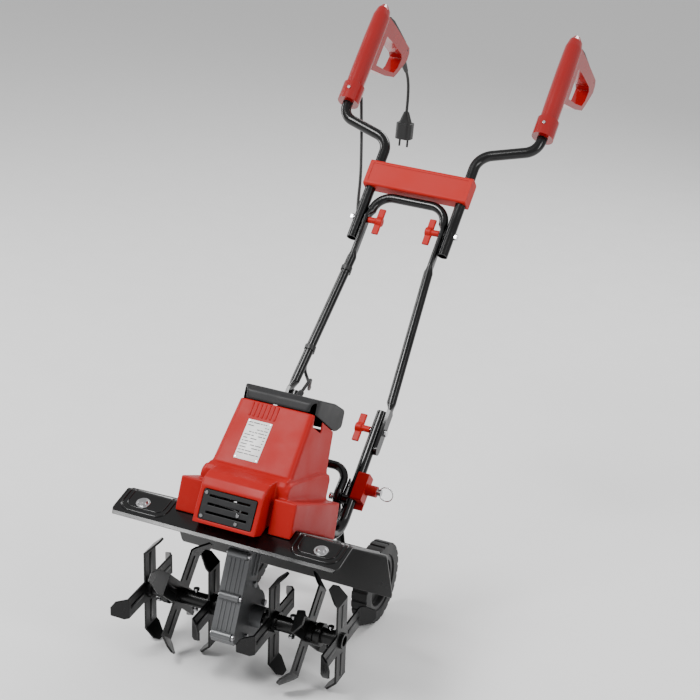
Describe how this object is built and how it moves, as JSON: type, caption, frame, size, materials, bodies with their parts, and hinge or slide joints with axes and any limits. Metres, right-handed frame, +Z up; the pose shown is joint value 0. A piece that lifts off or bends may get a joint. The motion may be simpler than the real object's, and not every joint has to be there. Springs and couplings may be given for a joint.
{
  "type": "electric tiller",
  "caption": "Electric garden tiller with bent tine stars under a guard, a red motor housing, a folding handle with looped grips, and transport wheels.",
  "frame": {"origin": "bottom centre of the bounding box, measured without the free mains lead, its strain relief and its plug", "axes": "+Z up, +Y towards the operator (the tines lead towards -Y), +X to the right seen from the front"},
  "size_m": [0.4808, 1.301, 1.0975],
  "materials": {
    "gear_case": "cast, satin",
    "steel": "zinc plated",
    "bright": "polished",
    "brass": "machined",
    "copper_pack": "varnished laminations",
    "black_paint": "gloss powder coat",
    "tine_black": "satin coat",
    "red_shell": "fine grain",
    "red_grip": "gloss",
    "orange_red": "fine grain",
    "dark_plastic": "fine grain",
    "black_plastic": "satin",
    "rubber": "satin",
    "tyre": "moulded"
  },
  "bodies": {
    "machine": {"gearbox_shell_left": "gear_case", "gearbox_shell_right": "gear_case", "gearbox_bolts": "steel", "output_bearings": "steel", "motor_stator": "copper_pack", "motor_housing": "red_shell", "top_cover": "dark_plastic", "front_grille": "dark_plastic", "housing_screws": "steel", "tine_guard": "black_paint", "deck_bolts": "steel", "lower_tube_left": "black_paint", "lower_tube_right": "black_paint", "lock_housing": "red_shell", "supply_cable_lower": "rubber", "lock_spring": "steel"},
    "tine_rotor": {"output_shaft": "steel", "worm_wheel": "brass", "tine_hub_left": "tine_black", "tine_hub_right": "tine_black", "hub_bolts": "steel", "tine_star_left_1": "tine_black", "tine_star_left_2": "tine_black", "tine_star_left_3": "tine_black", "tine_star_right_1": "tine_black", "tine_star_right_2": "tine_black", "tine_star_right_3": "tine_black"},
    "motor_rotor": {"rotor_core": "copper_pack", "cooling_fan": "black_plastic", "worm_shaft": "steel"},
    "wheel_carrier": {"wheel_bracket": "black_paint", "wheel_axle": "steel", "bracket_bolts": "bright"},
    "wheel_left": {"tyre_left": "tyre", "wheel_rim_left": "black_plastic"},
    "wheel_right": {"tyre_right": "tyre", "wheel_rim_right": "black_plastic"},
    "lock_pin": {"lock_pin": "steel"},
    "lock_ring": {"pull_ring": "bright"},
    "middle_handle": {"middle_frame": "black_paint", "cable_clips": "black_plastic", "supply_cable_middle": "rubber", "pivot_bolts": "bright"},
    "upper_handle": {"upper_tube_left": "black_paint", "upper_tube_right": "black_paint", "crossbar": "orange_red", "grip_left": "red_grip", "grip_right": "red_grip", "upper_screws": "steel", "strain_relief": "rubber", "mains_lead": "rubber", "mains_plug": "black_plastic", "supply_cable_upper": "rubber"},
    "lever_left": {"switch_lever_left": "black_plastic"},
    "lever_right": {"switch_lever_right": "black_plastic"},
    "lock_off": {"lock_off_button": "black_plastic"},
    "knob_lower_left": {"wing_knob_lower_left": "orange_red"},
    "knob_lower_right": {"wing_knob_lower_right": "orange_red"},
    "knob_upper_left": {"wing_knob_upper_left": "orange_red"},
    "knob_upper_right": {"wing_knob_upper_right": "orange_red"}
  },
  "joints": [
    {"name": "tine_spin", "type": "hinge", "parent": "machine", "child": "tine_rotor", "pos_m": [0, -0.4918, 0.11], "axis": [1, 0, 0], "continuous": true},
    {"name": "motor_spin", "type": "hinge", "parent": "machine", "child": "motor_rotor", "pos_m": [0, -0.50522, 0.21925], "axis": [0, 0.304, 0.9527], "continuous": true},
    {"name": "wheel_carrier_swing", "type": "hinge", "parent": "machine", "child": "wheel_carrier", "pos_m": [0, -0.2548, 0.276], "axis": [1, 0, 0], "range_deg": [0, 65]},
    {"name": "wheel_left_spin", "type": "hinge", "parent": "wheel_carrier", "child": "wheel_left", "pos_m": [-0.1365, -0.1738, 0.082], "axis": [1, 0, 0], "continuous": true},
    {"name": "wheel_right_spin", "type": "hinge", "parent": "wheel_carrier", "child": "wheel_right", "pos_m": [0.1365, -0.1738, 0.082], "axis": [1, 0, 0], "continuous": true},
    {"name": "lock_pin_pull", "type": "slide", "parent": "machine", "child": "lock_pin", "axis": [1, 0, 0], "range_m": [0, 0.012], "stiffness_N_per_m": 600, "springref_m": -0.008, "deforming": ["lock_spring"]},
    {"name": "lock_ring_swing", "type": "hinge", "parent": "lock_pin", "child": "lock_ring", "pos_m": [0.143, -0.22016, 0.29099], "axis": [0, 0, 1], "range_deg": [-80, 80]},
    {"name": "lower_fold", "type": "hinge", "parent": "machine", "child": "middle_handle", "pos_m": [0, -0.1408, 0.381], "axis": [1, 0, 0], "range_deg": [0, 100], "deforming": ["supply_cable_lower"]},
    {"name": "upper_fold", "type": "hinge", "parent": "middle_handle", "child": "upper_handle", "pos_m": [0, 0.1511, 0.7121], "axis": [1, 0, 0], "range_deg": [-150, 0], "deforming": ["supply_cable_middle", "supply_cable_upper"]},
    {"name": "lever_left_squeeze", "type": "hinge", "parent": "upper_handle", "child": "lever_left", "pos_m": [-0.2174, 0.60826, 0.97963], "axis": [1, 0, 0], "range_deg": [0, 5], "stiffness_Nm_per_rad": 2, "springref_deg": -6.88},
    {"name": "lever_right_squeeze", "type": "hinge", "parent": "upper_handle", "child": "lever_right", "pos_m": [0.2174, 0.60826, 0.97963], "axis": [1, 0, 0], "range_deg": [0, 5], "stiffness_Nm_per_rad": 2, "springref_deg": -6.88},
    {"name": "lock_off_press", "type": "slide", "parent": "upper_handle", "child": "lock_off", "axis": [0, -0.7501, 0.6613], "range_m": [0, 0.004], "stiffness_N_per_m": 400, "springref_m": -0.003},
    {"name": "knob_lower_left_turn", "type": "hinge", "parent": "middle_handle", "child": "knob_lower_left", "pos_m": [-0.06, -0.1408, 0.381], "axis": [1, 0, 0], "continuous": true},
    {"name": "knob_lower_right_turn", "type": "hinge", "parent": "middle_handle", "child": "knob_lower_right", "pos_m": [0.06, -0.1408, 0.381], "axis": [1, 0, 0], "continuous": true},
    {"name": "knob_upper_left_turn", "type": "hinge", "parent": "middle_handle", "child": "knob_upper_left", "pos_m": [-0.06, 0.1511, 0.7121], "axis": [1, 0, 0], "continuous": true},
    {"name": "knob_upper_right_turn", "type": "hinge", "parent": "middle_handle", "child": "knob_upper_right", "pos_m": [0.06, 0.1511, 0.7121], "axis": [1, 0, 0], "continuous": true}
  ],
  "couplings": [
    {"joint": "motor_spin", "follows": "tine_spin", "ratio": 30}
  ]
}
